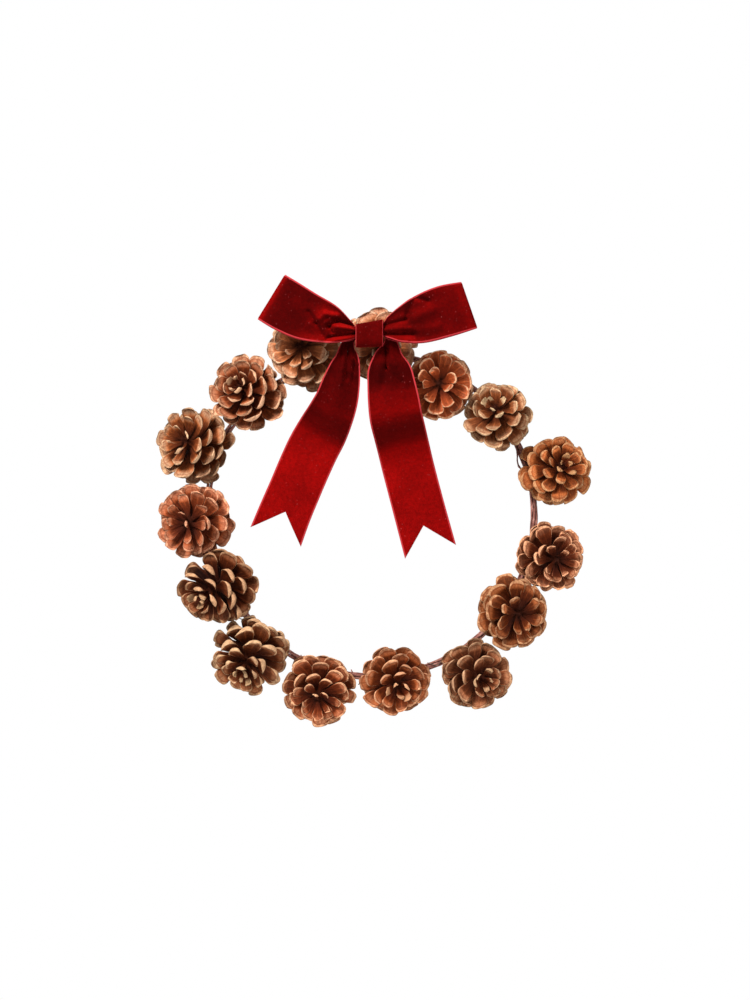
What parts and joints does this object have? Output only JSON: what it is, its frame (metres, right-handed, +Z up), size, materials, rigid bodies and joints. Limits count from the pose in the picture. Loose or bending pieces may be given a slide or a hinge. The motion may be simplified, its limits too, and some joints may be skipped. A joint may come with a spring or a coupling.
{
  "type": "pinecone wreath",
  "caption": "Round wreath of open pine cones wired to a slim ring of twisted vine, with a red velvet ribbon bow and two notched tails at the top",
  "frame": {"origin": "where a hook carries the wreath: under the ring at its top, at the ring's middle line", "axes": "+Z up as it hangs, -Y out of the front, +X to the right as seen from the front"},
  "size_m": [0.3417, 0.0861, 0.3518],
  "materials": {
    "pine_cone_01": "dry open pine cone, matte woody scales",
    "pine_cone_02": "dry open pine cone, matte woody scales",
    "pine_cone_03": "dry open pine cone, matte woody scales",
    "pine_cone_04": "dry open pine cone, matte woody scales",
    "pine_cone_05": "dry open pine cone, matte woody scales",
    "pine_cone_06": "dry open pine cone, matte woody scales",
    "pine_cone_07": "dry open pine cone, matte woody scales",
    "pine_cone_08": "dry open pine cone, matte woody scales",
    "pine_cone_09": "dry open pine cone, matte woody scales",
    "pine_cone_10": "dry open pine cone, matte woody scales",
    "pine_cone_11": "dry open pine cone, matte woody scales",
    "pine_cone_12": "dry open pine cone, matte woody scales",
    "pine_cone_13": "dry open pine cone, matte woody scales",
    "pine_cone_14": "dry open pine cone, matte woody scales",
    "pine_cone_15": "dry open pine cone, matte woody scales",
    "vine": "thin reddish-brown bark, matte",
    "velvet": "velvet pile, deep red",
    "binding_wire": "brown-covered iron wire"
  },
  "bodies": {
    "root": {"pinecone_01": "pine_cone_01", "pinecone_02": "pine_cone_02", "pinecone_03": "pine_cone_03", "pinecone_04": "pine_cone_04", "pinecone_05": "pine_cone_05", "pinecone_06": "pine_cone_06", "pinecone_07": "pine_cone_07", "pinecone_08": "pine_cone_08", "pinecone_09": "pine_cone_09", "pinecone_10": "pine_cone_10", "pinecone_11": "pine_cone_11", "pinecone_12": "pine_cone_12", "pinecone_13": "pine_cone_13", "pinecone_14": "pine_cone_14", "pinecone_15": "pine_cone_15", "cone_wire_01": "binding_wire", "cone_wire_02": "binding_wire", "cone_wire_03": "binding_wire", "cone_wire_04": "binding_wire", "cone_wire_05": "binding_wire", "cone_wire_06": "binding_wire", "cone_wire_07": "binding_wire", "cone_wire_08": "binding_wire", "cone_wire_09": "binding_wire", "cone_wire_10": "binding_wire", "cone_wire_11": "binding_wire", "cone_wire_12": "binding_wire", "cone_wire_13": "binding_wire", "cone_wire_14": "binding_wire", "cone_wire_15": "binding_wire", "vine_strand_1": "vine", "vine_strand_2": "vine", "vine_strand_3": "vine", "vine_strand_4": "vine", "bow_loop_left": "velvet", "bow_loop_right": "velvet", "bow_tail_left": "velvet", "bow_tail_right": "velvet", "bow_knot_band": "velvet", "bow_tie_wire": "binding_wire"}
  },
  "joints": []
}
